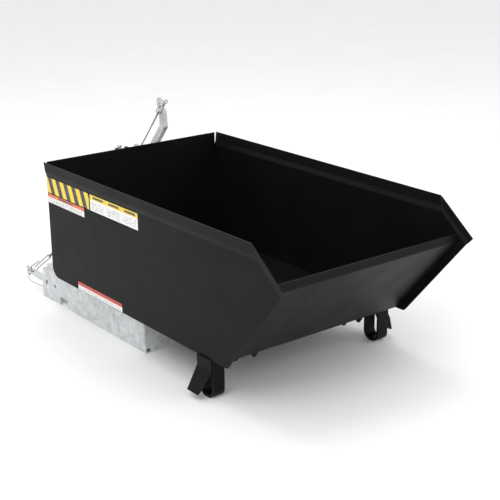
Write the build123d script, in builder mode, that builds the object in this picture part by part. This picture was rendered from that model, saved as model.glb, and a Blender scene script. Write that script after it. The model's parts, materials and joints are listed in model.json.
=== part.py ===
from build123d import *
import math
import os

# Low-profile self-dumping hopper on a galvanised fork-truck base.
# X is across, -Y is the dumping lip, +Y is the release side, Z = 0 is the ground.

# ---------------------------------------------------------------- driving sizes
REAR_Y = 514.5          # outer face of the hopper's rear wall
SHEET = 3.0             # hopper sheet thickness
WALL_X = 372.0          # outer face of the hopper side walls
RIM_X = 381.0           # outer face of the flared rims, half of 762 mm overall
FLOOR_Z = 132.0         # underside of the hopper floor
RIM_Z = 560.0           # top of the rims
RIM_FRONT = -1188.0     # front end of the level rim, from the rear wall
LIP_Y, LIP_Z = -1327.0, 450.0      # tip of the side walls
TOE_Y = -1056.0         # bottom front corner of the side walls
RIM_DEPTH = 50.0        # height of the flared band
RIM_BREAK = 0.34        # share of the band taken by its lower, steeper facet
PANEL_SETBACK = 35.5    # front panel behind the side walls, measured level

BASE_X = 337.0          # outer face of the base side plates
BASE_T = 6.0            # base plate thickness
BASE_REAR = 156.0       # rear end of the base
BASE_FRONT = -547.0     # front end of the base side plates
BASE_TOP = 131.5        # top edge that carries the hopper floor
EAR_TOP = 120.0         # top of the rear ears of the base
MOUNT_HOLE_D = 17.0
MOUNT_HOLES = [(124.0, 64.0), (58.0, 64.0)]

POCKET_W, POCKET_H, POCKET_T = 190.0, 64.0, 5.0
POCKET_X = 130.0        # centre of each fork pocket
POCKET_Z = 12.0         # underside of the pocket tubes

HINGE_Y, HINGE_Z = -615.0, 112.0
HINGE_X = 232.0         # centre of each hinge lug
HINGE_R = 18.0
PIN_D = 20.0
FIT = 0.05              # radial running clearance

FOOT_X = 348.0          # centre of each front foot strap
FOOT_W, FOOT_T = 44.0, 8.0
FOOT_FRONT, FOOT_REAR = -981.0, -911.0

SHAFT_Y, SHAFT_Z = 100.0, 500.0
SHAFT_D = 20.0
LEVER_X, LEVER_T, LEVER_W = 135.0, 20.0, 27.0
PADDLE_T = 8.0          # thickness of the lever's plate, without its backing bar
FINGER_X, FINGER_T = -8.0, 12.0
CATCH_REACH, CATCH_D = 37.0, 12.0   # catch bar from the shaft axis, and its diameter

ROPE_D = 5.0
ARM_X = -331.0          # outer face of the anchor arm


def yz(points):
    """Side-view points given from the rear wall, moved into the part's frame."""
    return [(REAR_Y + y, z) for y, z in points]


def at(x, y, z):
    return Vector(x, REAR_Y + y, z)


def ring_face(points):
    return Face(Wire.make_polygon([at(*p) for p in points]))


def lerp(a, b, t):
    return a + (b - a) * t


# ---------------------------------------------------------------- hopper sheet
# One bent sheet makes the rear wall, the floor and the sloped front panel.
slope = (TOE_Y - LIP_Y) / (LIP_Z - FLOOR_Z)
panel_foot = TOE_Y + PANEL_SETBACK
bend_z = 430.0
bend_y = panel_foot - (bend_z - FLOOR_Z) * slope
inner_x = WALL_X - SHEET

with BuildPart() as hopper_wrap:
    with BuildSketch(Plane.YZ.offset(-inner_x)):
        with BuildLine():
            FilletPolyline(
                *yz([(0, RIM_Z), (0, FLOOR_Z), (panel_foot, FLOOR_Z),
                     (bend_y, bend_z), (bend_y, bend_z + 27)]),
                radius=[40, 22, 8],
            )
            offset(amount=SHEET, side=Side.RIGHT)
        make_face()
    extrude(amount=2 * inner_x)
hopper_wrap.part.label = "hopper_wrap"

# Side walls: flat sheet with a flared band along the rim and the sloped edge.
rim_unit = Vector(0, LIP_Y - RIM_FRONT, LIP_Z - RIM_Z).normalized()
mitre_z = RIM_Z - RIM_DEPTH
front_w = 29.0          # width of the band on the sloped edge
inward = Vector(0, -rim_unit.Z, rim_unit.Y)
edge_point = Vector(0, RIM_FRONT, RIM_Z) + inward * front_w
along = (mitre_z - edge_point.Z) / rim_unit.Z
mitre_y = edge_point.Y + rim_unit.Y * along
tip_t = front_w / math.hypot(TOE_Y - LIP_Y, LIP_Z - FLOOR_Z)
tip_y = lerp(LIP_Y, TOE_Y, tip_t)
tip_z = lerp(LIP_Z, FLOOR_Z, tip_t)
flare = RIM_X - WALL_X
break_x = WALL_X + flare * 0.62


def band_section(side, top, low):
    """Closed outline of the flared band between a top point and a low point."""
    mid = (lerp(low[0], top[0], RIM_BREAK), lerp(low[1], top[1], RIM_BREAK))
    outer = [(WALL_X, low), (break_x, mid), (RIM_X, top)]
    points = [(side * x, p[0], p[1]) for x, p in outer]
    points += [(side * (x - SHEET), p[0], p[1]) for x, p in reversed(outer)]
    return ring_face(points)


def side_wall(side):
    sections = [
        band_section(side, (0.0, RIM_Z), (0.0, mitre_z)),
        band_section(side, (RIM_FRONT, RIM_Z), (mitre_y, mitre_z)),
        band_section(side, (LIP_Y, LIP_Z), (tip_y, tip_z)),
    ]
    with BuildPart() as wall:
        with BuildSketch(Plane.YZ.offset(side * (WALL_X - SHEET))):
            with BuildLine():
                FilletPolyline(
                    *yz([(0, 300), (0, FLOOR_Z), (TOE_Y, FLOOR_Z), (tip_y + 40, tip_z - 46.94)]),
                    radius=[40, 18],
                )
                Polyline(*yz([(tip_y + 40, tip_z - 46.94), (tip_y, tip_z), (mitre_y, mitre_z),
                              (0, mitre_z), (0, 300)]))
            make_face()
        extrude(amount=side * SHEET)
        loft(sections=sections, ruled=True)
        # the mitre between the two bands is left open by a narrow saw cut
        with BuildSketch(Plane.YZ.offset(side * (WALL_X - 6))):
            with BuildLine():
                Polyline(*yz([(RIM_FRONT - 1.4, RIM_Z + 4), (RIM_FRONT + 1.4, RIM_Z + 4),
                              (lerp(RIM_FRONT, mitre_y, 0.8) + 1.0, lerp(RIM_Z, mitre_z, 0.8)),
                              (lerp(RIM_FRONT, mitre_y, 0.8) - 1.0, lerp(RIM_Z, mitre_z, 0.8)),
                              (RIM_FRONT - 1.4, RIM_Z + 4)]))
            make_face()
        extrude(amount=side * 20, mode=Mode.SUBTRACT)
    return wall


hopper_left_side = side_wall(-1)
hopper_left_side.part.label = "hopper_left_side"
hopper_right_side = side_wall(1)
hopper_right_side.part.label = "hopper_right_side"


# ---------------------------------------------------------------- front feet
def foot_strap(side):
    x0 = side * FOOT_X - FOOT_W / 2
    front, rear = FOOT_FRONT, FOOT_REAR
    with BuildPart() as strap:
        with BuildSketch(Plane.YZ.offset(x0)):
            with BuildLine():
                FilletPolyline(
                    *yz([(front, FLOOR_Z), (front, 0), (rear, 0), (rear, FLOOR_Z)]),
                    radius=[30, 30],
                )
                offset(amount=FOOT_T, side=Side.LEFT)
            make_face()
        extrude(amount=FOOT_W)
    return strap


def foot_wing(side):
    """Side plate of a foot: upright at the top and flared outwards below."""
    x_in = FOOT_X + FOOT_W / 2
    with BuildPart() as wing:
        with BuildSketch(Plane.XZ.offset(-(REAR_Y - 905))):
            with BuildLine():
                FilletPolyline(
                    (side * x_in, FLOOR_Z), (side * x_in, 95), (side * (x_in + 40), 21),
                    radius=6,
                )
                offset(amount=5, side=Side.LEFT if side > 0 else Side.RIGHT)
            make_face()
        extrude(amount=73)
        with BuildSketch(Plane.YZ.offset(side * (x_in - 3))):
            with BuildLine():
                Polyline(*yz([(-978.5, 80), (-979, 10), (-952, 10), (-962, 30), (-978.5, 80)]))
            make_face()
        extrude(amount=side * 60, mode=Mode.SUBTRACT)
    return wing


foot_strap_left = foot_strap(-1)
foot_strap_left.part.label = "foot_strap_left"
foot_strap_right = foot_strap(1)
foot_strap_right.part.label = "foot_strap_right"
foot_wing_left = foot_wing(-1)
foot_wing_left.part.label = "foot_wing_left"
foot_wing_right = foot_wing(1)
foot_wing_right.part.label = "foot_wing_right"

# Small tabs and round-bar loops welded under the front bend.
with BuildPart() as front_tabs:
    for x in (-221.0, 221.0):
        with BuildSketch(Plane.YZ.offset(x - 4)):
            with BuildLine():
                Polyline(*yz([(-985, FLOOR_Z), (-985, 112), (-996, 108), (-1008, 132 - 8),
                              (-1008, FLOOR_Z), (-985, FLOOR_Z)]))
            make_face()
        extrude(amount=8)
front_tabs.part.label = "front_tabs"

with BuildPart() as tie_loops:
    for x in (-290.0, 160.0):
        with BuildLine():
            FilletPolyline(
                at(x - 9, -990, FLOOR_Z), at(x - 9, -990, FLOOR_Z - 17),
                at(x + 9, -990, FLOOR_Z - 17), at(x + 9, -990, FLOOR_Z), radius=8.5)
        with BuildSketch(Plane.XY.offset(FLOOR_Z)):
            with Locations((x - 9, REAR_Y - 990)):
                Circle(3)
        sweep()
tie_loops.part.label = "tie_loops"


# ---------------------------------------------------------------- hinge
# Long ears under the hopper floor, bored for the hinge pins, one pair per lug.
LUG_T, EAR_T, EAR_GAP = 12.0, 6.0, 0.6
ear_offset = LUG_T / 2 + EAR_GAP
ear_starts = [s * HINGE_X + d for s in (-1, 1) for d in (ear_offset, -ear_offset - EAR_T)]
with BuildPart() as hinge_ears:
    for x0 in ear_starts:
        with BuildSketch(Plane.YZ.offset(x0)):
            with BuildLine():
                Polyline(*yz([(HINGE_Y + 18, FLOOR_Z), (HINGE_Y + 18, HINGE_Z), (HINGE_Y, HINGE_Z - 18),
                              (HINGE_Y - 130, HINGE_Z - 10), (HINGE_Y - 190, FLOOR_Z - 4),
                              (HINGE_Y - 190, FLOOR_Z), (HINGE_Y + 18, FLOOR_Z)]))
            make_face()
            with Locations((REAR_Y + HINGE_Y, HINGE_Z)):
                Circle(HINGE_R)
                Circle(PIN_D / 2, mode=Mode.SUBTRACT)
        extrude(amount=EAR_T)
hinge_ears.part.label = "hinge_ears"

with BuildPart() as hinge_lugs:
    for s in (-1, 1):
        with BuildSketch(Plane.YZ.offset(s * HINGE_X - LUG_T / 2)):
            with BuildLine():
                Polyline(*yz([(BASE_FRONT - BASE_T, 128), (HINGE_Y, HINGE_Z + 16), (HINGE_Y, HINGE_Z - 16),
                              (BASE_FRONT - BASE_T, 72), (BASE_FRONT - BASE_T, 128)]))
            make_face()
            with Locations((REAR_Y + HINGE_Y, HINGE_Z)):
                Circle(16.5)
                Circle(PIN_D / 2, mode=Mode.SUBTRACT)
        extrude(amount=LUG_T)
hinge_lugs.part.label = "hinge_lugs"

pin_len = LUG_T + 2 * (EAR_T + EAR_GAP) + 16
with BuildPart() as hinge_pins:
    for s in (-1, 1):
        start = HINGE_X - LUG_T / 2 - EAR_T - 2 * EAR_GAP
        with BuildSketch(Plane.YZ.offset(s * start)):
            with Locations((REAR_Y + HINGE_Y, HINGE_Z)):
                Circle(PIN_D / 2 - FIT)
        extrude(amount=s * pin_len)
        with BuildSketch(Plane.YZ.offset(s * start)):
            with Locations((REAR_Y + HINGE_Y, HINGE_Z)):
                Circle(14)
        extrude(amount=-s * 5)
        with BuildSketch(Plane.XY.offset(HINGE_Z - 15)):
            with Locations((s * (start + pin_len - 6), REAR_Y + HINGE_Y)):
                Circle(2.0)
        extrude(amount=30, mode=Mode.SUBTRACT)
hinge_pins.part.label = "hinge_pins"

washer_x = HINGE_X + LUG_T / 2 + EAR_T + 2 * EAR_GAP
with BuildPart() as hinge_washers:
    for s in (-1, 1):
        with BuildSketch(Plane.YZ.offset(s * washer_x)):
            with Locations((REAR_Y + HINGE_Y, HINGE_Z)):
                Circle(17)
                Circle(PIN_D / 2, mode=Mode.SUBTRACT)
        extrude(amount=s * 3)
hinge_washers.part.label = "hinge_washers"

with BuildPart() as hinge_cotters:
    for s in (-1, 1):
        cx = s * (HINGE_X - LUG_T / 2 - EAR_T - 2 * EAR_GAP + pin_len - 6)
        with BuildSketch(Plane.XY.offset(HINGE_Z - 15)):
            with Locations((cx, REAR_Y + HINGE_Y)):
                Circle(1.9)
        extrude(amount=29)
        with BuildSketch(Plane.XY.offset(HINGE_Z + 11)):
            with Locations((cx, REAR_Y + HINGE_Y)):
                Circle(3.6)
        extrude(amount=4)
hinge_cotters.part.label = "hinge_cotters"


# ---------------------------------------------------------------- base
def base_side(side):
    x_in = BASE_X - BASE_T
    with BuildPart() as plate:
        with BuildSketch(Plane.YZ.offset(side * x_in)):
            with BuildLine():
                FilletPolyline(
                    *yz([(BASE_REAR, 50), (BASE_REAR - 6, EAR_TOP), (26, EAR_TOP), (8, BASE_TOP),
                         (BASE_FRONT, BASE_TOP), (BASE_FRONT, 60)]),
                    radius=[20, 8, 8, 3],
                )
                Polyline(*yz([(BASE_FRONT, 60), (BASE_FRONT, 0), (-35, 0), (-35, 32), (26, 32),
                              (26, 0), (BASE_REAR, 0), (BASE_REAR, 50)]))
            make_face()
            with Locations(*yz(MOUNT_HOLES)):
                Circle(MOUNT_HOLE_D / 2, mode=Mode.SUBTRACT)
        extrude(amount=side * BASE_T)
    return plate


base_left_side = base_side(-1)
base_left_side.part.label = "base_left_side"
base_right_side = base_side(1)
base_right_side.part.label = "base_right_side"

pocket_top = POCKET_Z + POCKET_H + 2 * POCKET_T
pocket_out = POCKET_W + 2 * POCKET_T


def pocket(side):
    """Square-edged tube that takes one fork, open at both ends."""
    with BuildPart() as tube:
        with BuildSketch(Plane.XZ.offset(-(REAR_Y + BASE_REAR))):
            with Locations((side * POCKET_X, POCKET_Z + POCKET_H / 2 + POCKET_T)):
                RectangleRounded(pocket_out, POCKET_H + 2 * POCKET_T, 8)
                RectangleRounded(POCKET_W, POCKET_H, 3, mode=Mode.SUBTRACT)
        extrude(amount=BASE_REAR - BASE_FRONT)
    return tube


fork_pocket_left = pocket(-1)
fork_pocket_left.part.label = "fork_pocket_left"
fork_pocket_right = pocket(1)
fork_pocket_right.part.label = "fork_pocket_right"

with BuildPart() as base_front_panel:
    with BuildSketch(Plane.XZ.offset(-(REAR_Y + BASE_FRONT))):
        with Locations((0, BASE_TOP / 2)):
            Rectangle(2 * BASE_X, BASE_TOP)
        for s in (-1, 1):
            with Locations((s * POCKET_X, POCKET_Z + POCKET_H / 2 + POCKET_T)):
                RectangleRounded(POCKET_W, POCKET_H, 3, mode=Mode.SUBTRACT)
            with Locations((s * (BASE_X - 12), 0)):
                SlotCenterToCenter(16, 15, rotation=90, mode=Mode.SUBTRACT)
            with Locations((s * BASE_X, BASE_TOP)):
                Rectangle(12, 16, mode=Mode.SUBTRACT)
    extrude(amount=BASE_T)
base_front_panel.part.label = "base_front_panel"


def cross_beam(y, top, foot):
    """Upright cross plate on top of the pocket tubes, with a folded foot."""
    x_in = BASE_X - BASE_T
    with BuildPart() as beam:
        with BuildSketch(Plane.YZ.offset(-x_in)):
            with BuildLine():
                Polyline(*yz([(y, top), (y, pocket_top), (y - foot, pocket_top),
                              (y - foot, pocket_top + 6), (y - 6, pocket_top + 6),
                              (y - 6, top), (y, top)]))
            make_face()
        extrude(amount=2 * x_in)
    return beam


base_rear_beam = cross_beam(134.0, 120.0, 58.0)
base_rear_beam.part.label = "base_rear_beam"
base_middle_beam = cross_beam(-220.0, BASE_TOP, 40.0)
base_middle_beam.part.label = "base_middle_beam"

with BuildPart() as base_straps:
    for y in (131.0, -180.0, -490.0):
        with BuildSketch(Plane.XY.offset(POCKET_Z - 8)):
            with Locations((0, REAR_Y + y)):
                Rectangle(2 * (BASE_X - BASE_T), 50)
        extrude(amount=8)
base_straps.part.label = "base_straps"

# Angle clip inside the rear corner, just above the ear of the left side plate.
clip_x = -(BASE_X - BASE_T)
with BuildPart() as corner_clip:
    with BuildSketch(Plane.XZ.offset(-(REAR_Y + 122))):
        with BuildLine():
            FilletPolyline((clip_x, 98), (clip_x, 127), (clip_x + 32, 127), radius=7)
            offset(amount=5, side=Side.RIGHT)
        make_face()
    extrude(amount=64)
    with BuildSketch(Plane.XY.offset(122)):
        with Locations((clip_x + 19.5, REAR_Y + 134)):
            RectangleRounded(25, 26, 6)
    extrude(amount=5)
corner_clip.part.label = "corner_clip"

# ---------------------------------------------------------------- latch mast
POST_L, POST_R, POST_T = 22.0, 68.0, 8.0
foot_top = pocket_top + 14


def post(x0, half, top):
    with BuildPart() as bar:
        with BuildSketch(Plane.YZ.offset(x0)):
            with BuildLine():
                Polyline(*yz([(SHAFT_Y - half, top), (SHAFT_Y - half, 450), (SHAFT_Y - 10, 410),
                              (SHAFT_Y - 10, 200), (SHAFT_Y - 18, 150), (SHAFT_Y - 18, foot_top),
                              (SHAFT_Y + 24, foot_top), (SHAFT_Y + 24, 150), (SHAFT_Y + 18, 200),
                              (SHAFT_Y + half, 450), (SHAFT_Y + half, top), (SHAFT_Y - half, top)]))
            make_face()
            with Locations((REAR_Y + SHAFT_Y, top)):
                Circle(half)
            with Locations((REAR_Y + SHAFT_Y, SHAFT_Z)):
                Circle(SHAFT_D / 2, mode=Mode.SUBTRACT)
        extrude(amount=POST_T)
    return bar


mast_left_post = post(POST_L, 18.0, SHAFT_Z)
mast_left_post.part.label = "mast_left_post"
mast_right_post = post(POST_R, 17.0, SHAFT_Z + 24)
mast_right_post.part.label = "mast_right_post"

# Foot plate of the mast, bolted down on the flange of the rear beam.
BOLT_X = (-42.0, 106.0)
BOLT_Y = (88.0, 116.0)
with BuildPart() as mast_foot:
    with BuildSketch(Plane.XY.offset(pocket_top + 6)):
        with Locations((32, REAR_Y + 102)):
            RectangleRounded(176, 50, 6)
        with Locations(*[(x, REAR_Y + y) for x in BOLT_X for y in BOLT_Y]):
            Circle(5.5, mode=Mode.SUBTRACT)
    extrude(amount=8)
mast_foot.part.label = "mast_foot"

with BuildPart() as mast_bolts:
    with BuildSketch(Plane.XY.offset(pocket_top + 6)):
        with Locations(*[(x, REAR_Y + y) for x in BOLT_X for y in BOLT_Y]):
            Circle(5)
    extrude(amount=10)
    with BuildSketch(Plane.XY.offset(foot_top + 2)):
        with Locations(*[(x, REAR_Y + y) for x in BOLT_X for y in BOLT_Y]):
            RegularPolygon(8.5, 6, major_radius=False)
    extrude(amount=6.4)
mast_bolts.part.label = "mast_bolts"

with BuildPart() as mast_washers:
    with BuildSketch(Plane.XY.offset(foot_top)):
        with Locations(*[(x, REAR_Y + y) for x in BOLT_X for y in BOLT_Y]):
            Circle(10)
            Circle(5.4, mode=Mode.SUBTRACT)
    extrude(amount=2)
mast_washers.part.label = "mast_washers"

with BuildPart() as mast_ties:
    for z in (200.0, 340.0):
        with BuildSketch(Plane.XY.offset(z)):
            with Locations(((POST_L + POST_T + POST_R) / 2, REAR_Y + SHAFT_Y)):
                Rectangle(POST_R - POST_L - POST_T, 26)
        extrude(amount=40)
    with Locations(*[((POST_L + POST_T + POST_R) / 2, REAR_Y + SHAFT_Y, z) for z in (220.0, 360.0)]):
        Box(POST_R - POST_L - POST_T, 14, 60, mode=Mode.SUBTRACT)
mast_ties.part.label = "mast_ties"

# Shaft that carries the latch finger and the hand lever.
shaft_start = FINGER_X - FINGER_T / 2 - 13.0
shaft_end = LEVER_X + LEVER_T / 2 + 14.0
with BuildPart() as lever_shaft:
    with BuildSketch(Plane.YZ.offset(shaft_start)):
        with Locations((REAR_Y + SHAFT_Y, SHAFT_Z)):
            Circle(SHAFT_D / 2 - FIT)
    extrude(amount=shaft_end - shaft_start)
    chamfer(lever_shaft.edges().filter_by(GeomType.CIRCLE), length=1.2)
lever_shaft.part.label = "lever_shaft"


collar_starts = [FINGER_X - FINGER_T / 2 - 10.0, POST_L - 8.5, POST_R + POST_T + 0.5, LEVER_X + LEVER_T / 2 + 4.0]
with BuildPart() as shaft_collars:
    for x0 in collar_starts:
        with BuildSketch(Plane.YZ.offset(x0)):
            with Locations((REAR_Y + SHAFT_Y, SHAFT_Z)):
                Circle(16)
                Circle(SHAFT_D / 2 - FIT, mode=Mode.SUBTRACT)
        extrude(amount=8)
shaft_collars.part.label = "shaft_collars"

# The catch bar leaves the latch straight away from the shaft, on a circle about the hinge.
swing = math.hypot(SHAFT_Y - HINGE_Y, SHAFT_Z - HINGE_Z)
away = (-(SHAFT_Z - HINGE_Z) / swing, (SHAFT_Y - HINGE_Y) / swing)


def from_shaft(out, behind):
    """Side-view point measured along the catch bar's way out and square to it, rearwards."""
    return (SHAFT_Y + out * away[0] + behind * away[1], SHAFT_Z + out * away[1] - behind * away[0])


CATCH_Y, CATCH_Z = from_shaft(CATCH_REACH, 0)

# Latch finger: hub, arm and a beak that stands just behind the catch bar's path.
with BuildPart() as latch_finger:
    with BuildSketch(Plane.YZ.offset(FINGER_X - FINGER_T / 2)):
        with BuildLine():
            Polyline(*yz([from_shaft(*p) for p in (
                (0, 15.5), (30, 22), (44, 22), (50, 17), (50, 9), (48, 7.6), (44, 7.6), (41, 12),
                (24, 13), (14, 7), (0, 0), (0, 15.5))]))
        make_face()
        with Locations((REAR_Y + SHAFT_Y, SHAFT_Z)):
            Circle(16)
            Circle(SHAFT_D / 2 - FIT, mode=Mode.SUBTRACT)
    extrude(amount=FINGER_T)
latch_finger.part.label = "latch_finger"

# Hand lever: a cranked plate with a rounded end and a rope slot, backed by a thicker bar.
HOLE_Y, HOLE_Z = 9.0, 696.0
END_Y, END_Z, END_R = 11.0, 706.0, 21.0
KNEE_Y, KNEE_Z = 1.0, 616.0
BACK_Z = 672.0          # centre of the backing bar's upper end
lever_start = LEVER_X - LEVER_T / 2
with BuildPart() as release_lever:
    with BuildSketch(Plane.YZ.offset(lever_start)):
        with BuildLine():
            Polyline(*yz([(SHAFT_Y, SHAFT_Z), (KNEE_Y, KNEE_Z), (HOLE_Y, HOLE_Z)]))
            offset(amount=LEVER_W / 2, side=Side.BOTH)
        make_face()
        with Locations((REAR_Y + SHAFT_Y, SHAFT_Z)):
            Circle(21)
        with Locations((REAR_Y + END_Y, END_Z)):
            Circle(END_R)
        with Locations((REAR_Y + HOLE_Y, HOLE_Z)):
            SlotCenterToCenter(5, 15, rotation=90, mode=Mode.SUBTRACT)
        with Locations((REAR_Y + SHAFT_Y, SHAFT_Z)):
            Circle(SHAFT_D / 2 - FIT, mode=Mode.SUBTRACT)
    extrude(amount=PADDLE_T)
    with BuildSketch(Plane.YZ.offset(lever_start + PADDLE_T)):
        with BuildLine():
            Polyline(*yz([(SHAFT_Y, SHAFT_Z), (KNEE_Y, KNEE_Z),
                          (lerp(KNEE_Y, HOLE_Y, (BACK_Z - KNEE_Z) / (HOLE_Z - KNEE_Z)), BACK_Z)]))
            offset(amount=LEVER_W / 2 - 1.5, side=Side.BOTH)
        make_face()
        with Locations((REAR_Y + SHAFT_Y, SHAFT_Z)):
            Circle(19)
            Circle(SHAFT_D / 2 - FIT, mode=Mode.SUBTRACT)
    extrude(amount=LEVER_T - PADDLE_T)
release_lever.part.label = "release_lever"

# Torsion spring round the shaft between the right post and the lever.
SPRING_X0, SPRING_WIRE, SPRING_R, SPRING_TURNS = 90.0, 3.2, 15.0, 6
SPRING_PITCH = 4.6
with BuildPart() as return_spring:
    with BuildLine() as coil_line:
        Helix(pitch=SPRING_PITCH, height=SPRING_PITCH * SPRING_TURNS, radius=SPRING_R,
              center=(SPRING_X0, REAR_Y + SHAFT_Y, SHAFT_Z), direction=(1, 0, 0))
    with BuildSketch(Plane(origin=coil_line.line @ 0, z_dir=coil_line.line % 0)):
        Circle(SPRING_WIRE / 2)
    sweep(is_frenet=True)
return_spring.part.label = "return_spring"

# Catch on the rear wall: two cheeks and a round bar.
CHEEK_R = 10.0
with BuildPart() as catch_cheeks:
    for x0 in (FINGER_X - 24, FINGER_X + 18):
        with BuildSketch(Plane.YZ.offset(x0)):
            with BuildLine():
                Polyline(*yz([(0, 542), (CATCH_Y, CATCH_Z + CHEEK_R), (CATCH_Y, CATCH_Z - CHEEK_R),
                              (0, 470), (0, 542)]))
            make_face()
            with Locations((REAR_Y + CATCH_Y, CATCH_Z)):
                Circle(CHEEK_R)
                Circle(CATCH_D / 2, mode=Mode.SUBTRACT)
        extrude(amount=6)
catch_cheeks.part.label = "catch_cheeks"

with BuildPart() as catch_bar:
    with BuildSketch(Plane.YZ.offset(FINGER_X - 28)):
        with Locations((REAR_Y + CATCH_Y, CATCH_Z)):
            Circle(CATCH_D / 2)
    extrude(amount=56)
catch_bar.part.label = "catch_bar"

# ---------------------------------------------------------------- rope and arm
# Flat anchor arm, lapped and bolted inside the left side plate of the base.
ARM_END = (298.0, 82.0)
ARM_HOLE = (279.0, 70.0)
CLIP_HOLE = (241.0, 72.0)
with BuildPart() as anchor_arm:
    with BuildSketch(Plane.YZ.offset(ARM_X)):
        with BuildLine():
            Polyline(*yz([(138, 80), ARM_END, (294, 67), (254, 53), (166, 68), (138, 70), (138, 80)]))
        make_face()
        with Locations(*yz([ARM_HOLE, CLIP_HOLE])):
            Circle(4.5, mode=Mode.SUBTRACT)
    extrude(amount=6)
    # the lower half of the arm is pressed inwards by a third of the thickness
    with BuildSketch(Plane.YZ.offset(ARM_X + 2)):
        with BuildLine():
            Polyline(*yz([(138, 73), (166, 71), (248, 57), (252, 53), (138, 50), (138, 73)]))
        make_face()
    extrude(amount=6)
anchor_arm.part.label = "anchor_arm"


def rounded(points, share=0.45):
    """Largest tangent arcs that the runs of a route leave room for."""
    radii = []
    for a, b, c in zip(points, points[1:], points[2:]):
        turn = math.radians((b - a).get_angle(c - b))
        radii.append(share * min((b - a).length, (c - b).length) / math.tan(turn / 2))
    return radii


def wire(points, diameter, radii):
    """Round wire along straight runs and tangent arcs."""
    with BuildPart() as made:
        with BuildLine() as path:
            FilletPolyline(*points, radius=radii)
        with BuildSketch(Plane(origin=path.line @ 0, z_dir=path.line % 0)):
            Circle(diameter / 2)
        sweep()
    return made


CLIP_WIRE = 3.6
EYE_LEN, SLEEVE_LEN = 24.0, 30.0
reach = EYE_LEN - ROPE_D / 2 - CLIP_WIRE / 2 - 0.5

# Upper spring clip: through the lever's slot and round the lever's front edge.
top_dir = Vector(-0.412, 0.2245, -0.883).normalized()
top_c = at(110, 0, 672)
top_n = Vector(-0.67, -0.70, 0.11).cross(top_dir).normalized()
upper_route = [at(134, -14.5, 706), at(120, -14.5, 683), top_c + top_n * 9, top_c - top_n * 10,
               at(117, HOLE_Y, 689), at(140, HOLE_Y, 697), at(141, -7, 704)]
upper_clip = wire(upper_route, CLIP_WIRE, [8, 5, 5, 6, 6])
ring_c = at(139.5, -12, 712)
with BuildPart() as upper_clip_ring:
    with BuildSketch(Plane(origin=ring_c, x_dir=(1, 0, 0), z_dir=(0, 0, 1))):
        with Locations((6, 0)):
            Circle(1.6)
    revolve(axis=Axis(ring_c, (0, 1, 0)), revolution_arc=360)
upper_clip_ring.part.label = "upper_clip_ring"
upper_clip.part.label = "upper_clip"

# Lower spring clip: a short tail, the arm's hole, a long loop that holds the rope's eye.
low_dir = Vector(0.878, -0.478, 0.814).normalized()
low_n = (Vector(0, 0, 1) - low_dir * low_dir.Z).normalized()
low_o = at(ARM_X + 3, CLIP_HOLE[0], 85)


def by_clip(along, aside):
    return low_o + low_dir * along + low_n * aside


low_c = by_clip(80, -4.5)
lower_route = [by_clip(36, 8), at(-338, 243, 93), at(-339, 242, 71), at(-317, 242, 71),
               by_clip(12, -10), by_clip(80, -11.5), by_clip(80, 2.5), by_clip(6, 0)]
lower_clip = wire(lower_route, CLIP_WIRE, [8, 5, 5, 8, 6, 6])
lower_clip.part.label = "lower_clip"


def rope_eye(centre, along, normal):
    """Teardrop eye of the rope: centre is where the clip's wire passes."""
    across = along.cross(normal).normalized()
    base = centre + along * reach

    def local(u, v):
        return base - along * u + across * v

    route = [local(0, 2.7), local(12, 8), local(EYE_LEN, 8), local(EYE_LEN, -8),
             local(12, -8), local(0, -2.7)]
    return wire(route, ROPE_D, [12, 7, 7, 12])


def sleeve(centre, along, normal):
    """Oval crimped sleeve that closes an eye."""
    across = along.cross(normal).normalized()
    start = centre + along * reach
    with BuildPart() as made:
        with BuildSketch(Plane(origin=start, x_dir=across, z_dir=along)):
            SlotOverall(14.0, 8.0)
        extrude(amount=SLEEVE_LEN)
    return made


rope_eye_upper = rope_eye(top_c, top_dir, top_n)
rope_eye_upper.part.label = "rope_eye_upper"
upper_sleeve = sleeve(top_c, top_dir, top_n)
upper_sleeve.part.label = "upper_sleeve"
rope_eye_lower = rope_eye(low_c, low_dir, low_n)
rope_eye_lower.part.label = "rope_eye_lower"
lower_sleeve = sleeve(low_c, low_dir, low_n)
lower_sleeve.part.label = "lower_sleeve"

# The free rope hangs between the two sleeves, steep at the lever and flatter at the arm.
rope_start = top_c + top_dir * (reach + SLEEVE_LEN + 0.6)
rope_end = low_c + low_dir * (reach + SLEEVE_LEN)
level = Vector(rope_end.X - rope_start.X, rope_end.Y - rope_start.Y, 0)
span = level.length
level = level.normalized()
slope_top = top_dir.Z / math.hypot(top_dir.X, top_dir.Y)
slope_low = -low_dir.Z / math.hypot(low_dir.X, low_dir.Y)
slope_mean = (rope_end.Z - rope_start.Z) / span
bend_2 = 3 * slope_mean - 2 * slope_top - slope_low
bend_3 = slope_top + slope_low - 2 * slope_mean
steps = [0.0, 0.066, 0.137, 0.211, 0.291, 0.376, 0.468, 0.566, 0.672, 0.782, 0.893, 1.0]
rope_route = []
for t in steps:
    drop = span * (slope_top * t + bend_2 * t ** 2 + bend_3 * t ** 3)
    rope_route.append(rope_start + level * (t * span) + Vector(0, 0, drop))
rope_radii = rounded(rope_route)
pull_rope = wire(rope_route, ROPE_D, rope_radii)
pull_rope.part.label = "pull_rope"
print("rope radii", [round(r) for r in rope_radii])
print("rope runs", [round((b - a).length, 1) for a, b in zip(rope_route, rope_route[1:])])

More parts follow.
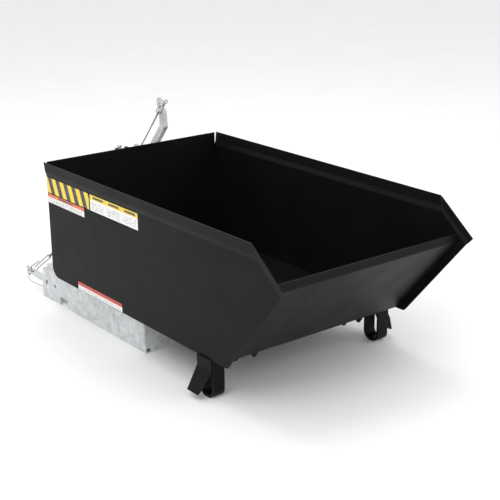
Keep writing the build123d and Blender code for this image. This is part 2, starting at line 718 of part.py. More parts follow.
# Thin safety lanyard between a split ring on the arm and an eyelet on the base.
LANYARD_D = 2.5
arm_ring_c = at(ARM_X + 3, ARM_HOLE[0], ARM_HOLE[1] - 10)
with BuildPart() as arm_ring:
    with BuildSketch(Plane(origin=arm_ring_c, x_dir=(1, 0, 0), z_dir=(0, 0, 1))):
        with Locations((8, 0)):
            Circle(1.6)
    revolve(axis=Axis(arm_ring_c, (0, 1, 0)), revolution_arc=360)
arm_ring.part.label = "arm_ring"
lan_x = ARM_X + 3
lanyard_route = [at(lan_x + dx, y, z) for dx, y, z in (
    (0, 282, 46), (0.5, 289, 43), (1, 293, 37.8), (1.5, 293, 30.5), (2, 287, 25), (2.5, 276, 22.2),
    (3, 259, 21.6), (3.5, 238, 22), (3.5, 215, 23.6), (3, 193, 25.8), (2.2, 172, 28.4),
    (1.5, 152, 29.8))]
lanyard_radii = rounded(lanyard_route)
lanyard = wire(lanyard_route, LANYARD_D, lanyard_radii)
lanyard.part.label = "lanyard"
print("lanyard radii", [round(r) for r in lanyard_radii])
print("lanyard runs", [round((b - a).length, 1) for a, b in zip(lanyard_route, lanyard_route[1:])])
for name, made, dia in (("rope", pull_rope, ROPE_D), ("lanyard", lanyard, LANYARD_D)):
    print(name, "length by volume", round(made.part.volume / (math.pi * dia ** 2 / 4), 1))

lan_first = (lanyard_route[0] - lanyard_route[1]).normalized()
lan_last = (lanyard_route[-1] - lanyard_route[-2]).normalized()
with BuildPart() as lanyard_sleeves:
    for start, way in ((lanyard_route[0], lan_first), (lanyard_route[-1], lan_last)):
        with BuildSketch(Plane(origin=start, z_dir=way)):
            Circle(2.6)
        extrude(amount=7)
lanyard_sleeves.part.label = "lanyard_sleeves"

# ---------------------------------------------------------------- labels
LABELS = {
    "label_hazard": (-146.0, 478.0, 288.0, 56.0),
    "label_notice": (-128.0, 430.0, 252.0, 32.0),
    "label_steps": (-446.0, 478.0, 296.0, 56.0),
    "label_lower": (-329.0, 148.0, 290.0, 29.0),
}
label_parts = []
for name, (y, z, width, height) in LABELS.items():
    with BuildPart() as label:
        with BuildSketch(Plane.YZ.offset(-WALL_X)):
            with Locations(*yz([(y, z)])):
                Rectangle(width, height)
        extrude(amount=-0.4)
    label.part.label = name
    label_parts.append(label)

parts_made = [
    hopper_wrap, hopper_left_side, hopper_right_side, foot_strap_left, foot_strap_right,
    foot_wing_left, foot_wing_right, front_tabs, tie_loops, hinge_ears, hinge_lugs,
    hinge_pins, hinge_washers, hinge_cotters, base_left_side, base_right_side,
    fork_pocket_left, fork_pocket_right, base_front_panel, base_rear_beam,
    base_middle_beam, base_straps, corner_clip, mast_left_post, mast_right_post,
    mast_foot, mast_bolts, mast_washers, mast_ties, lever_shaft, shaft_collars, latch_finger, release_lever,
    return_spring, catch_cheeks, catch_bar, anchor_arm,
    upper_clip, upper_clip_ring, lower_clip, rope_eye_upper, rope_eye_lower, upper_sleeve,
    lower_sleeve, pull_rope, arm_ring, lanyard, lanyard_sleeves,
] + label_parts
os.makedirs("parts", exist_ok=True)
for item in parts_made:
    export_step(item.part, f"parts/{item.part.label}.step")
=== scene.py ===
import bpy
import bmesh
import json
import math
from mathutils import Matrix, Vector


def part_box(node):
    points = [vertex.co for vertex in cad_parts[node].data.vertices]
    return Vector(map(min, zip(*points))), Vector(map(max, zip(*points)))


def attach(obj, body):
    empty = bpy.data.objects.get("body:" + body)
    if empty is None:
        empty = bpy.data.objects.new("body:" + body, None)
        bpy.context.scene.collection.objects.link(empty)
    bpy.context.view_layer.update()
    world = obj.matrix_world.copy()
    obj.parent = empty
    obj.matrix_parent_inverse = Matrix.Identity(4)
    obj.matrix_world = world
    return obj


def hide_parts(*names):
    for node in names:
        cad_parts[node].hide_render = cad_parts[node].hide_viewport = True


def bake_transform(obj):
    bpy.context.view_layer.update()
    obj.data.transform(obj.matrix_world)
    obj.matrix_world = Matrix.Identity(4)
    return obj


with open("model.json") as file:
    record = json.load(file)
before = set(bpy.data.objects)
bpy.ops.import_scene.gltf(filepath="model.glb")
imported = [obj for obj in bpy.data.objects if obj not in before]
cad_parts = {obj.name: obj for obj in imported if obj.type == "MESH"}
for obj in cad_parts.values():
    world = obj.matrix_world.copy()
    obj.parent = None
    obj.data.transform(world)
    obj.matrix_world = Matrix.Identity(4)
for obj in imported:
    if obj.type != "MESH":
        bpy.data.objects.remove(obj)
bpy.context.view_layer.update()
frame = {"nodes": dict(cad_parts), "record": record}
NODES = frame["nodes"]
REAR = 0.5145          # outer face of the rear wall


# ------------------------------------------------------------------ camera
CAMERA_TURN, CAMERA_RISE, CAMERA_ROLL = -38.0, 18.62, -0.5     # degrees
CAMERA_PLACE = (-2.2022, REAR - 3.5136, 1.5364)
CAMERA_LENS, CAMERA_SENSOR = 81.36, 36.0


def make_camera():
    data = bpy.data.cameras.new("camera")
    cam = bpy.data.objects.new("camera", data)
    bpy.context.scene.collection.objects.link(cam)
    az, el, roll = (math.radians(a) for a in (CAMERA_TURN, CAMERA_RISE, CAMERA_ROLL))
    back = Vector((math.sin(az) * math.cos(el), -math.cos(az) * math.cos(el), math.sin(el)))
    right = Vector((math.cos(az), math.sin(az), 0))
    up = back.cross(right)
    r2 = right * math.cos(roll) + up * math.sin(roll)
    u2 = up * math.cos(roll) - right * math.sin(roll)
    m = Matrix((r2, u2, back)).transposed().to_4x4()
    m.translation = Vector(CAMERA_PLACE)
    cam.matrix_world = m
    data.sensor_width = CAMERA_SENSOR
    data.lens = CAMERA_LENS
    data.clip_start, data.clip_end = 0.05, 60.0
    bpy.context.scene.camera = cam


make_camera()


# ------------------------------------------------------------------ the cords' routes, as in the CAD model
MM = 0.001


def at(x, y, z):
    """A point given in millimetres from the middle plane, the rear wall and the ground."""
    return Vector((x * MM, REAR + y * MM, z * MM))


ROPE_D, LANYARD_D = 5.0 * MM, 2.5 * MM
CLIP_WIRE = 3.6 * MM
EYE_LEN, SLEEVE_LEN = 24.0 * MM, 30.0 * MM
REACH = EYE_LEN - ROPE_D / 2 - CLIP_WIRE / 2 - 0.5 * MM
ARM_MID = -328.0        # middle of the anchor arm's thickness

top_dir = Vector((-0.412, 0.2245, -0.883)).normalized()
top_c = at(110, 0, 672)
top_n = Vector((-0.67, -0.70, 0.11)).cross(top_dir).normalized()
low_dir = Vector((0.878, -0.478, 0.814)).normalized()
low_n = (Vector((0, 0, 1)) - low_dir * low_dir.z).normalized()
low_c = at(ARM_MID, 241, 85) + low_dir * 80 * MM - low_n * 4.5 * MM


def rope_points():
    """Free rope between the two sleeves, steep at the lever and flatter at the arm."""
    start = top_c + top_dir * (REACH + SLEEVE_LEN + 0.6 * MM)
    end = low_c + low_dir * (REACH + SLEEVE_LEN)
    level = Vector((end.x - start.x, end.y - start.y, 0))
    span = level.length
    level.normalize()
    slope_top = top_dir.z / math.hypot(top_dir.x, top_dir.y)
    slope_low = -low_dir.z / math.hypot(low_dir.x, low_dir.y)
    mean = (end.z - start.z) / span
    bend_2 = 3 * mean - 2 * slope_top - slope_low
    bend_3 = slope_top + slope_low - 2 * mean
    steps = [0.0, 0.066, 0.137, 0.211, 0.291, 0.376, 0.468, 0.566, 0.672, 0.782, 0.893, 1.0]
    return [start + level * (t * span)
            + Vector((0, 0, span * (slope_top * t + bend_2 * t ** 2 + bend_3 * t ** 3))) for t in steps]


LANYARD_ROUTE = [at(ARM_MID + dx, y, z) for dx, y, z in (
    (0, 282, 46), (0.5, 289, 43), (1, 293, 37.8), (1.5, 293, 30.5), (2, 287, 25), (2.5, 276, 22.2),
    (3, 259, 21.6), (3.5, 238, 22), (3.5, 215, 23.6), (3, 193, 25.8), (2.2, 172, 28.4),
    (1.5, 152, 29.8))]


def nurbs_line(points, cyclic=False):
    """Points read from a NURBS curve that has the given control points."""
    data = bpy.data.curves.new("route", "CURVE")
    data.dimensions = "3D"
    spline = data.splines.new("NURBS")
    spline.points.add(len(points) - 1)
    for p, co in zip(spline.points, points):
        p.co = (*co, 1)
    spline.order_u = 3
    spline.use_endpoint_u = not cyclic
    spline.use_cyclic_u = cyclic
    spline.resolution_u = 16
    obj = bpy.data.objects.new("route", data)
    bpy.context.scene.collection.objects.link(obj)
    bpy.context.view_layer.update()
    mesh = bpy.data.meshes.new_from_object(obj)
    line = [v.co.copy() for v in mesh.vertices]
    bpy.data.objects.remove(obj)
    bpy.data.curves.remove(data)
    bpy.data.meshes.remove(mesh)
    return line


def carried_frames(line):
    """A direction and two square directions at each point, with no twist."""
    frames = []
    side = None
    for k, p in enumerate(line):
        way = (line[min(k + 1, len(line) - 1)] - line[max(k - 1, 0)]).normalized()
        if side is None:
            side = way.orthogonal().normalized()
        side = (side - way * side.dot(way)).normalized()
        frames.append((way, side, way.cross(side)))
    return frames


def add_tube(bm, line, frames, radius, sides, offset=lambda k: (0.0, 0.0)):
    """Closed tube along a line; radius is a number or a function of the point's index."""
    rings = []
    for k, (p, (way, a, b)) in enumerate(zip(line, frames)):
        u, v = offset(k)
        r = radius(k) if callable(radius) else radius
        centre = p + a * u + b * v
        rings.append([bm.verts.new(centre + (a * math.cos(t) + b * math.sin(t)) * r)
                      for t in (2 * math.pi * j / sides for j in range(sides))])
    for low, high in zip(rings, rings[1:]):
        for j in range(sides):
            bm.faces.new((low[j], low[(j + 1) % sides], high[(j + 1) % sides], high[j]))
    bm.faces.new(list(reversed(rings[0])))
    bm.faces.new(rings[-1])


def mesh_object(name, bm, material):
    bmesh.ops.recalc_face_normals(bm, faces=bm.faces)
    mesh = bpy.data.meshes.new(name)
    bm.to_mesh(mesh)
    bm.free()
    mesh.polygons.foreach_set("use_smooth", [len(p.vertices) < 9 for p in mesh.polygons])
    obj = bpy.data.objects.new(name, mesh)
    bpy.context.scene.collection.objects.link(obj)
    mesh.materials.append(material)
    return obj


def stranded(name, line, diameter, material, strands=6, turn_length=7.0, sides=8):
    """Laid rope: strands wound round a core; turn_length is in diameters."""
    r = diameter / 2
    s = r / 3
    frames = carried_frames(line)
    run = [0.0]
    for a, b in zip(line, line[1:]):
        run.append(run[-1] + (b - a).length)
    bm = bmesh.new()
    add_tube(bm, line, frames, 1.7 * s, 10)
    for i in range(strands):
        start = 2 * math.pi * i / strands

        def around(k, start=start):
            t = start + 2 * math.pi * run[k] / (turn_length * diameter)
            return 2 * s * math.cos(t), 2 * s * math.sin(t)
        add_tube(bm, line, frames, 1.02 * s, sides, around)
    return mesh_object(name, bm, material)


# ------------------------------------------------------------------ material helpers
def new_material(name):
    mat = bpy.data.materials.new(name)
    mat.use_nodes = True
    nt = mat.node_tree
    return mat, nt, nt.nodes["Principled BSDF"]


def node(nt, kind, **values):
    n = nt.nodes.new(kind)
    for key, value in values.items():
        if key in n.inputs:
            n.inputs[key].default_value = value
        else:
            setattr(n, key, value)
    return n


def ramp(nt, fac, stops):
    n = nt.nodes.new("ShaderNodeValToRGB")
    while len(n.color_ramp.elements) < len(stops):
        n.color_ramp.elements.new(0.5)
    for element, (pos, col) in zip(n.color_ramp.elements, stops):
        element.position = pos
        element.color = (*col, 1)
    nt.links.new(fac, n.inputs["Fac"])
    return n.outputs["Color"]


def grey(v):
    return (v, v, v)


def coords(nt, scale=(1, 1, 1)):
    tc = nt.nodes.new("ShaderNodeTexCoord")
    mp = nt.nodes.new("ShaderNodeMapping")
    mp.inputs["Scale"].default_value = scale
    nt.links.new(tc.outputs["Object"], mp.inputs["Vector"])
    return mp.outputs["Vector"]


def noise(nt, vec, scale, detail=3.0, rough=0.5, distortion=0.0):
    n = node(nt, "ShaderNodeTexNoise", Scale=scale, Detail=detail, Roughness=rough, Distortion=distortion)
    nt.links.new(vec, n.inputs["Vector"])
    return n.outputs["Fac"]


def bump(nt, bsdf, height, strength, distance):
    b = node(nt, "ShaderNodeBump", Strength=strength, Distance=distance)
    nt.links.new(height, b.inputs["Height"])
    nt.links.new(b.outputs["Normal"], bsdf.inputs["Normal"])
    return b


def mix(nt, fac, a, b):
    m = nt.nodes.new("ShaderNodeMix")
    m.data_type = "RGBA"
    for value, key in ((fac, 0), (a, 6), (b, 7)):
        if isinstance(value, (int, float)):
            m.inputs[key].default_value = value
        elif isinstance(value, tuple):
            m.inputs[key].default_value = (*value, 1)
        else:
            nt.links.new(value, m.inputs[key])
    return m.outputs[2]


def math_node(nt, op, a, b=None):
    m = nt.nodes.new("ShaderNodeMath")
    m.operation = op
    for value, key in ((a, 0), (b, 1)):
        if value is None:
            continue
        if isinstance(value, (int, float)):
            m.inputs[key].default_value = value
        else:
            nt.links.new(value, m.inputs[key])
    return m.outputs[0]


def link(nt, out, bsdf, socket):
    nt.links.new(out, bsdf.inputs[socket])


# ------------------------------------------------------------------ materials
def edge_mask(nt, radius, gain):
    """0 on flat faces, rising to 1 within about radius of an edge."""
    soft = node(nt, "ShaderNodeBevel", samples=4, Radius=radius)
    flat = nt.nodes.new("ShaderNodeNewGeometry")
    dot = nt.nodes.new("ShaderNodeVectorMath")
    dot.operation = "DOT_PRODUCT"
    nt.links.new(soft.outputs["Normal"], dot.inputs[0])
    nt.links.new(flat.outputs["Normal"], dot.inputs[1])
    rise = math_node(nt, "MULTIPLY", math_node(nt, "SUBTRACT", 1.0, dot.outputs["Value"]), gain)
    rise.node.use_clamp = True
    return rise, soft.outputs["Normal"]


def black_coat():
    mat, nt, b = new_material("black_powder_coat")
    vec = coords(nt)
    cloud = noise(nt, vec, 5.0, 5.0, 0.6)
    base = ramp(nt, cloud, [(0.3, (0.0042, 0.0042, 0.0045)), (0.75, (0.0068, 0.0068, 0.007))])
    dust = ramp(nt, noise(nt, vec, 70.0, 6.0, 0.72), [(0.66, grey(0)), (0.85, grey(0.3))])
    base = mix(nt, dust, base, (0.018, 0.0175, 0.016))
    # Edges lightened towards pale grey: partly paint worn through at the edges, partly a painted highlight
    # along them.
    edges, rounded = edge_mask(nt, 0.0022, 2.4)
    worn_and_lit_edges = math_node(nt, "MULTIPLY", edges, noise(nt, vec, 55.0, 5.0, 0.7))
    link(nt, mix(nt, worn_and_lit_edges, base, (0.085, 0.085, 0.088)), b, "Base Color")
    rough = ramp(nt, noise(nt, vec, 8.0, 6.0, 0.65), [(0.3, grey(0.36)), (0.7, grey(0.47))])
    link(nt, rough, b, "Roughness")
    b.inputs["Specular IOR Level"].default_value = 0.09
    peel = noise(nt, vec, 700.0, 2.0, 0.5)
    wave = noise(nt, vec, 8.0, 2.0, 0.4)
    both = math_node(nt, "ADD", math_node(nt, "MULTIPLY", peel, 0.1), wave)
    lift = bump(nt, b, both, 0.2, 0.002)
    nt.links.new(rounded, lift.inputs["Normal"])
    return mat


def galvanised():
    mat, nt, b = new_material("galvanised_zinc")
    vec = coords(nt)
    warp = node(nt, "ShaderNodeTexNoise", Scale=30.0, Detail=2.0)
    nt.links.new(vec, warp.inputs["Vector"])
    bent = nt.nodes.new("ShaderNodeMixRGB")
    bent.inputs[0].default_value = 0.03
    nt.links.new(vec, bent.inputs[1])
    nt.links.new(warp.outputs["Color"], bent.inputs[2])
    cell = node(nt, "ShaderNodeTexVoronoi", Scale=62.0)
    nt.links.new(bent.outputs[0], cell.inputs["Vector"])
    cell_grey = nt.nodes.new("ShaderNodeRGBToBW")
    nt.links.new(cell.outputs["Color"], cell_grey.inputs[0])
    spangle = ramp(nt, cell_grey.outputs[0], [(0.2, (0.47, 0.49, 0.505)), (0.55, (0.56, 0.58, 0.59)),
                                              (0.85, (0.66, 0.675, 0.68))])
    run = coords(nt, (5.0, 5.0, 1.1))
    streak = ramp(nt, noise(nt, run, 9.0, 6.0, 0.65, 0.6), [(0.33, grey(0)), (0.72, grey(0.62))])
    colour = mix(nt, streak, spangle, (0.70, 0.715, 0.72))
    dull = ramp(nt, noise(nt, vec, 16.0, 6.0, 0.7), [(0.5, grey(0)), (0.78, grey(0.5))])
    colour = mix(nt, dull, colour, (0.47, 0.475, 0.475))
    # Edges lightened to pale zinc: a painted highlight along the edges.
    edges, rounded = edge_mask(nt, 0.0016, 2.2)
    colour = mix(nt, edges, colour, (0.8, 0.81, 0.815))
    link(nt, colour, b, "Base Color")
    b.inputs["Metallic"].default_value = 0.55
    rough = ramp(nt, noise(nt, vec, 120.0, 5.0, 0.6), [(0.3, grey(0.42)), (0.75, grey(0.6))])
    link(nt, rough, b, "Roughness")
    lumps = math_node(nt, "ADD", noise(nt, vec, 210.0, 4.0, 0.6),
                      math_node(nt, "MULTIPLY", noise(nt, vec, 40.0, 2.0, 0.5), 1.5))
    lift = bump(nt, b, lumps, 0.22, 0.0008)
    nt.links.new(rounded, lift.inputs["Normal"])
    return mat


def wire_metal(name, low, high, metallic, rough_low, rough_high, grain):
    mat, nt, b = new_material(name)
    vec = coords(nt)
    base = ramp(nt, noise(nt, vec, grain, 4.0, 0.6), [(0.3, low), (0.75, high)])
    link(nt, base, b, "Base Color")
    b.inputs["Metallic"].default_value = metallic
    rough = ramp(nt, noise(nt, vec, grain * 2.3, 4.0, 0.6),
                 [(0.3, grey(rough_low)), (0.7, grey(rough_high))])
    link(nt, rough, b, "Roughness")
    bump(nt, b, noise(nt, vec, grain * 4.0, 3.0, 0.6), 0.15, 0.0003)
    return mat


BLACK = black_coat()
ZINC = galvanised()
PLATED = wire_metal("bright_zinc_plate", (0.52, 0.53, 0.54), (0.68, 0.69, 0.7), 0.85, 0.24, 0.36, 160.0)
SPRING = wire_metal("drawn_wire", (0.16, 0.155, 0.14), (0.3, 0.295, 0.28), 0.8, 0.3, 0.45, 300.0)
ROPE = wire_metal("rope_strands", (0.2, 0.195, 0.17), (0.42, 0.41, 0.38), 0.75, 0.34, 0.5, 420.0)
THIN = wire_metal("thin_strands", (0.3, 0.3, 0.27), (0.5, 0.5, 0.47), 0.75, 0.3, 0.45, 420.0)
SLEEVE = wire_metal("crimped_sleeve", (0.42, 0.43, 0.43), (0.6, 0.61, 0.61), 0.8, 0.3, 0.5, 240.0)


def local_uv(nt, y0, z0, width, height):
    """Position across and up a label on the left wall, both from 0 to 1."""
    tc = nt.nodes.new("ShaderNodeTexCoord")
    sep = nt.nodes.new("ShaderNodeSeparateXYZ")
    nt.links.new(tc.outputs["Object"], sep.inputs[0])
    u = math_node(nt, "DIVIDE", math_node(nt, "SUBTRACT", y0, sep.outputs["Y"]), width)
    v = math_node(nt, "DIVIDE", math_node(nt, "SUBTRACT", sep.outputs["Z"], z0), height)
    return u, v, tc.outputs["Object"]


def band(nt, x, low, high):
    """1 where x is between low and high."""
    above = math_node(nt, "GREATER_THAN", x, low)
    below = math_node(nt, "LESS_THAN", x, high)
    return math_node(nt, "MULTIPLY", above, below)


def label_base(name, node_name):
    low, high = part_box(node_name)
    mat, nt, b = new_material(name)
    u, v, vec = local_uv(nt, high[1], low[2], high[1] - low[1], high[2] - low[2])
    b.inputs["Specular IOR Level"].default_value = 0.5
    return mat, nt, b, u, v, vec


def finish_label(nt, b, colour, vec):
    worn = ramp(nt, noise(nt, vec, 90.0, 6.0, 0.7), [(0.45, grey(0)), (0.85, grey(0.22))])
    link(nt, mix(nt, worn, colour, (0.55, 0.54, 0.52)), b, "Base Color")
    rough = ramp(nt, noise(nt, vec, 60.0, 4.0, 0.6), [(0.3, grey(0.25)), (0.7, grey(0.38))])
    link(nt, rough, b, "Roughness")
    bump(nt, b, noise(nt, vec, 120.0, 2.0, 0.5), 0.08, 0.0005)


def text_lines(nt, u, v, x0, x1, rows, y0, y1, weight=0.42):
    """Grey bars that stand for lines of small print, broken into uneven words."""
    region = math_node(nt, "MULTIPLY", band(nt, u, x0, x1), band(nt, v, y0, y1))
    row = math_node(nt, "MULTIPLY", math_node(nt, "SUBTRACT", v, y0), rows / (y1 - y0))
    line = math_node(nt, "LESS_THAN", math_node(nt, "FRACT", row), weight)
    combine = nt.nodes.new("ShaderNodeCombineXYZ")
    nt.links.new(math_node(nt, "MULTIPLY", u, 60.0), combine.inputs[0])
    nt.links.new(math_node(nt, "MULTIPLY", math_node(nt, "FLOOR", row), 7.3), combine.inputs[1])
    words = node(nt, "ShaderNodeTexWhiteNoise")
    floor_u = nt.nodes.new("ShaderNodeVectorMath")
    floor_u.operation = "FLOOR"
    nt.links.new(combine.outputs[0], floor_u.inputs[0])
    nt.links.new(floor_u.outputs[0], words.inputs["Vector"])
    word = math_node(nt, "GREATER_THAN", words.outputs["Value"], 0.22)
    return math_node(nt, "MULTIPLY", math_node(nt, "MULTIPLY", region, line), word)


def hazard_label():
    mat, nt, b, u, v, vec = label_base("hazard_film", "label_hazard")
    slant = math_node(nt, "ADD", math_node(nt, "MULTIPLY", u, 5.2), math_node(nt, "MULTIPLY", v, 0.42))
    stripe = math_node(nt, "LESS_THAN", math_node(nt, "FRACT", slant), 0.5)
    colour = mix(nt, stripe, (0.012, 0.012, 0.012), (0.83, 0.60, 0.018))
    finish_label(nt, b, colour, vec)
    return mat


def notice_label():
    mat, nt, b, u, v, vec = label_base("notice_film", "label_notice")
    colour = mix(nt, text_lines(nt, u, v, 0.04, 0.95, 4, 0.08, 0.6), (0.8, 0.8, 0.79), (0.32, 0.31, 0.31))
    header = math_node(nt, "GREATER_THAN", v, 0.64)
    colour = mix(nt, header, colour, (0.72, 0.13, 0.035))
    panel = math_node(nt, "MULTIPLY", band(nt, u, 0.30, 0.70), band(nt, v, 0.74, 0.9))
    colour = mix(nt, panel, colour, (0.03, 0.03, 0.03))
    finish_label(nt, b, colour, vec)
    return mat


def steps_label():
    mat, nt, b, u, v, vec = label_base("steps_film", "label_steps")
    colour = (0.82, 0.82, 0.81)
    for k in range(3):
        lines = text_lines(nt, u, v, 0.03 + k * 0.335, 0.30 + k * 0.335, 5, 0.1, 0.62)
        colour = mix(nt, lines, colour, (0.35, 0.35, 0.35))
    header = math_node(nt, "GREATER_THAN", v, 0.70)
    colour = mix(nt, header, colour, (0.80, 0.58, 0.02))
    third = math_node(nt, "FRACT", math_node(nt, "MULTIPLY", u, 3.0))
    bars = math_node(nt, "MULTIPLY", band(nt, third, 0.2, 0.86), band(nt, v, 0.78, 0.92))
    colour = mix(nt, bars, colour, (0.05, 0.045, 0.03))
    gaps = band(nt, third, 0.985, 1.1)
    colour = mix(nt, gaps, colour, (0.3, 0.3, 0.3))
    finish_label(nt, b, colour, vec)
    return mat


def lower_label():
    mat, nt, b, u, v, vec = label_base("lower_film", "label_lower")
    colour = mix(nt, text_lines(nt, u, v, 0.03, 0.97, 3, 0.08, 0.5), (0.8, 0.8, 0.79), (0.38, 0.36, 0.36))
    header = math_node(nt, "GREATER_THAN", v, 0.58)
    colour = mix(nt, header, colour, (0.53, 0.035, 0.02))
    finish_label(nt, b, colour, vec)
    return mat


SLOT_MATERIAL = {
    "black_paint": BLACK, "galvanised": ZINC, "plated_steel": PLATED, "spring_wire": SPRING,
    "wire_rope": ROPE, "lanyard_wire": THIN, "sleeve_metal": SLEEVE,
    "label_hazard": hazard_label(), "label_notice": notice_label(),
    "label_steps": steps_label(), "label_lower": lower_label(),
}
SLOT_OF = {s["node"]: s["material_slot"] for s in frame["record"]["subparts"]}
for name, obj in NODES.items():
    obj.data.materials.clear()
    obj.data.materials.append(SLOT_MATERIAL[SLOT_OF[name]])


# ------------------------------------------------------------------ rope, eyes and sleeves
def split_line(line, step):
    """The same line with points no further apart than step."""
    out = [line[0]]
    for a, b in zip(line, line[1:]):
        n = max(1, math.ceil((b - a).length / step))
        out += [a.lerp(b, (i + 1) / n) for i in range(n)]
    return out


def eye_points(centre, along, normal, tail):
    """Teardrop eye whose short end runs back through the sleeve and past it by tail."""
    across = along.cross(normal).normalized()
    base = centre + along * REACH

    def local(u, v):
        return base - along * u * MM + across * v * MM

    back = (SLEEVE_LEN + tail) / MM
    return [local(-SLEEVE_LEN / MM, 2.6), local(-10, 2.6), local(0, 2.7), local(12, 8.5), local(25, 9.5),
            local(25, -9.5), local(12, -8.5), local(0, -2.7), local(-10, -2.6), local(-back, -2.6)]


def sleeve_mesh(name, centre, along, normal):
    """Oval ferrule pressed in three places, with rolled ends."""
    across = along.cross(normal).normalized()
    start = centre + along * REACH
    bm = bmesh.new()
    rings = []
    sections, sides = 48, 28
    for k in range(sections + 1):
        t = k / sections
        press = sum(math.exp(-((t - c) / 0.075) ** 2) for c in (0.22, 0.5, 0.78))
        end = min(t, 1 - t)
        roll = 1 - 0.16 * max(0.0, 1 - end / 0.05) ** 2
        wide, thick = 7.0 * MM * roll * (1 - 0.03 * press), 4.0 * MM * roll * (1 - 0.17 * press)
        ring = []
        for j in range(sides):
            a = 2 * math.pi * j / sides
            c, q = math.cos(a), math.sin(a)
            u = math.copysign(abs(c) ** 0.75, c) * wide
            v = math.copysign(abs(q) ** 0.9, q) * thick
            ring.append(bm.verts.new(start + along * (SLEEVE_LEN * t) + across * u + normal * v))
        rings.append(ring)
    for low, high in zip(rings, rings[1:]):
        for j in range(sides):
            bm.faces.new((low[j], low[(j + 1) % sides], high[(j + 1) % sides], high[j]))
    bm.faces.new(rings[0])
    bm.faces.new(rings[-1])
    return mesh_object(name, bm, SLEEVE)


def make_rope():
    line = split_line(nurbs_line(rope_points()), 2.5 * MM)
    rope = stranded("release_rope", line, ROPE_D, ROPE)
    with_rope = []
    for level, centre, along, normal, body, tail in (
            ("upper", top_c, top_dir, top_n, "lever", 7 * MM),
            ("lower", low_c, low_dir, low_n, "base", 6 * MM)):
        eye_line = split_line(nurbs_line(eye_points(centre, along, normal, tail)), 1.5 * MM)
        eye = stranded("rope_loop_" + level, eye_line, ROPE_D * 0.98, ROPE)
        crimp = sleeve_mesh("crimped_sleeve_" + level, centre, along, normal)
        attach(eye, body)
        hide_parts("rope_eye_" + level)
        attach(crimp, body)
        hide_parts(level + "_sleeve")
        with_rope += [eye, crimp]
    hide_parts("pull_rope")
    with_rope += [NODES["upper_clip"], NODES["upper_clip_ring"], NODES["lower_clip"]]
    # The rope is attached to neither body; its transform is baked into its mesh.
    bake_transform(rope)


def make_lanyard():
    line = split_line(nurbs_line(LANYARD_ROUTE), 1.5 * MM)
    lanyard = stranded("ring_lanyard", line, LANYARD_D, THIN, turn_length=6.0, sides=6)
    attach(lanyard, "base")
    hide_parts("lanyard")
    ring = at(ARM_MID, 279, 60)
    way = (LANYARD_ROUTE[0] - LANYARD_ROUTE[1]).normalized()
    crimp_end = LANYARD_ROUTE[0] + way * 6.5 * MM
    hook = ring + Vector((0, 0, -8 * MM))
    loop = [crimp_end + Vector((0.8, 0, 0)) * MM, hook + Vector((0, 2.6, -2.2)) * MM,
            hook + Vector((0, 2.6, 3.2)) * MM, hook + Vector((0, -3.2, 3.0)) * MM,
            hook + Vector((0, -3.6, -1.8)) * MM, crimp_end + Vector((-0.8, 0, 0)) * MM]
    eye = stranded("lanyard_loop", split_line(nurbs_line(loop), 0.8 * MM), 1.7 * MM, THIN,
                   turn_length=6.0, sides=6)
    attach(eye, "base")


make_rope()
make_lanyard()


# ------------------------------------------------------------------ weld beads
def bead(name, body, start, end, radius, material):
    """Hand-laid weld run: a rippled, slightly wandering bead between two points."""
    pitch, step = 2.4 * MM, 0.6 * MM
    n = max(8, int((end - start).length / step))
    line = [start.lerp(end, k / n) for k in range(n + 1)]
    frames = carried_frames(line)

    def size(k):
        run = k * step
        ripple = 1 + 0.13 * abs(math.sin(math.pi * run / pitch))
        taper = min(1.0, (min(k, n - k) + 2) / 8)
        return radius * ripple * taper

    def wander(k):
        return 0.12 * radius * math.sin(k * 0.23), 0.1 * radius * math.sin(k * 0.17 + 1.0)

    bm = bmesh.new()
    add_tube(bm, line, frames, size, 8, wander)
    made = mesh_object(name, bm, material)
    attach(made, body)


def black_bead(name, start, end, radius=2.6 * MM):
    bead(name, "hopper", Vector(start), Vector(end), radius, BLACK)


def zinc_bead(name, start, end, radius=2.4 * MM):
    bead(name, "base", Vector(start), Vector(end), radius, ZINC)


def solid_boxes(name):
    """Lowest and highest corners of each separate solid of a node, from left to right."""
    mesh = NODES[name].data
    parent = list(range(len(mesh.vertices)))

    def root(i):
        while parent[i] != i:
            parent[i] = parent[parent[i]]
            i = parent[i]
        return i

    places = {}
    for v in mesh.vertices:
        key = tuple(round(c, 6) for c in v.co)
        if key in places:
            parent[root(v.index)] = root(places[key])
        places[key] = v.index
    for e in mesh.edges:
        a, b = e.vertices
        parent[root(a)] = root(b)
    groups = {}
    for v in mesh.vertices:
        groups.setdefault(root(v.index), []).append(v.co)
    found = []
    for group in groups.values():
        found.append(([min(c[i] for c in group) for i in range(3)],
                      [max(c[i] for c in group) for i in range(3)]))
    return sorted(found)


def side_mark(x, low):
    """Ending of a bead's name: a for the left side of its piece, b for the right."""
    return "a" if x == low[0] else "b"


def foot_and_corner_welds(floor_z):
    for side, sign in (("left", -1), ("right", 1)):
        low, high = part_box("foot_strap_" + side)
        for end, y in (("front", low[1]), ("rear", high[1])):
            black_bead(f"foot_weld_{side}_{end}", (low[0] + 3 * MM, y, floor_z),
                       (high[0] - 3 * MM, y, floor_z))
        low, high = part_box("foot_wing_" + side)
        x = (low[0] if sign > 0 else high[0]) + sign * 5.5 * MM
        black_bead(f"wing_weld_{side}", (x, low[1] + 4 * MM, floor_z), (x, high[1] - 4 * MM, floor_z))
        panel_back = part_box("base_front_panel")[1][1]
        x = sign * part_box("base_right_side")[1][0]
        zinc_bead(f"corner_weld_{side}", (x, panel_back, 0.03), (x, panel_back, 0.108))


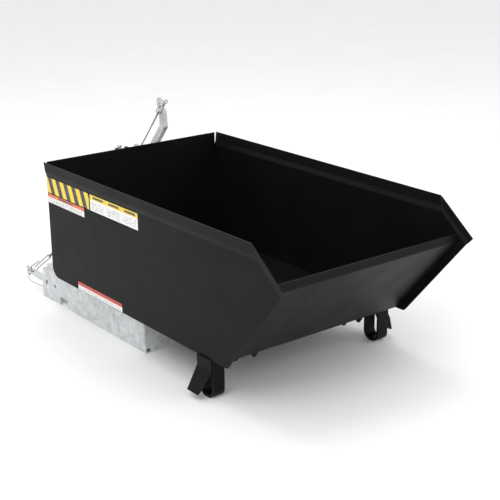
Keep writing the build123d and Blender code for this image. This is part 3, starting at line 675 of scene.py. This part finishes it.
def tab_and_cheek_welds(floor_z):
    for k, (low, high) in enumerate(solid_boxes("front_tabs")):
        for x in (low[0], high[0]):
            black_bead(f"tab_weld_{k}_{side_mark(x, low)}", (x, low[1] + 2 * MM, floor_z),
                       (x, high[1] - 2 * MM, floor_z), 2.0 * MM)
    wall = REAR + 0.8 * MM
    for k, (low, high) in enumerate(solid_boxes("catch_cheeks")):
        for x in (low[0], high[0]):
            black_bead(f"cheek_weld_{k}_{side_mark(x, low)}", (x, wall, low[2] + 6 * MM),
                       (x, wall, 0.538))


def mast_and_arm_welds():
    for post in ("left", "right"):
        low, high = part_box(f"mast_{post}_post")
        z = low[2] + 1 * MM
        for x in (low[0], high[0]):
            zinc_bead(f"post_weld_{post}_{side_mark(x, low)}", (x, REAR + 0.084, z),
                      (x, REAR + 0.122, z), 3.0 * MM)
    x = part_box("anchor_arm")[0][0]
    plate_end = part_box("base_left_side")[1][1]
    zinc_bead("arm_weld", (x, plate_end, 0.056), (x, plate_end, 0.078), 2.2 * MM)


def pocket_welds():
    low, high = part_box("fork_pocket_left")
    panel_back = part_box("base_front_panel")[1][1]
    for side, sign in (("l", -1), ("r", 1)):
        for x in (low[0], high[0]):
            zinc_bead(f"pocket_weld_{side}_{side_mark(x, low)}",
                      (-sign * x, panel_back, low[2] + 0.012), (-sign * x, panel_back, high[2] - 0.012))


UNDER_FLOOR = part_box("hopper_wrap")[0][2] - 1 * MM
foot_and_corner_welds(UNDER_FLOOR)
tab_and_cheek_welds(UNDER_FLOOR)
mast_and_arm_welds()
pocket_welds()


# ------------------------------------------------------------------ stage and light
def make_stage():
    bpy.ops.mesh.primitive_plane_add(size=40)
    floor = bpy.context.object
    floor.name = "floor"
    mat, nt, b = new_material("floor_paper")
    paper = ramp(nt, noise(nt, coords(nt), 3.0, 3.0), [(0.3, grey(0.86)), (0.7, grey(0.88))])
    link(nt, paper, b, "Base Color")
    b.inputs["Roughness"].default_value = 0.9
    floor.data.materials.append(mat)
    world = bpy.data.worlds.new("world")
    bpy.context.scene.world = world
    world.use_nodes = True
    world.node_tree.nodes["Background"].inputs["Color"].default_value = (1, 1, 1, 1)
    world.node_tree.nodes["Background"].inputs["Strength"].default_value = 0.95


def area(name, location, target, size, power):
    data = bpy.data.lights.new(name, "AREA")
    data.energy = power
    data.size = size
    lamp = bpy.data.objects.new(name, data)
    bpy.context.scene.collection.objects.link(lamp)
    lamp.location = location
    lamp.rotation_mode = "QUATERNION"
    lamp.rotation_quaternion = (Vector(target) - Vector(location)).to_track_quat("-Z", "Y")


LAMP_SIZE, LAMP_AIM = 3.0, (0, 0, 0.3)

make_stage()
for lamp_name, lamp_place, watts in (("key", (-3.2, -2.2, 4.2), 95), ("fill", (3.0, -3.4, 2.4), 35),
                                     ("top", (0.0, 1.2, 4.5), 60)):
    area(lamp_name, lamp_place, LAMP_AIM, LAMP_SIZE, watts)
bpy.context.scene.view_settings.view_transform = "Standard"
